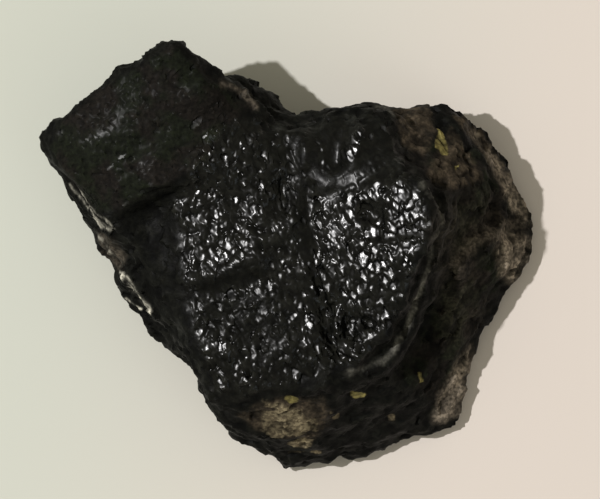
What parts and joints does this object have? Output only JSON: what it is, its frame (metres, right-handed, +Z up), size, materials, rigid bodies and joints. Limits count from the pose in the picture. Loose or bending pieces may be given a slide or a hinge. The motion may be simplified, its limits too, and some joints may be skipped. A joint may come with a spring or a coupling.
{
  "type": "coal lump",
  "caption": "Broken lump of glossy black bituminous coal with a bluff head, a tilted plateau, stepped ledges and a flat bedding face to lie on.",
  "frame": {"origin": "under the middle of the bounding box, on the flat parting that the lump lies on", "axes": "+Z up from the parting, +X along the longest extent, from the bluff head towards the shelf, +Y towards the head's upper corner"},
  "size_m": [0.0996, 0.0866, 0.036],
  "materials": {
    "coal": "glossy black vitrain on top, duller and browner on the broken sides"
  },
  "bodies": {
    "root": {"coal_lump": "coal"}
  },
  "joints": []
}
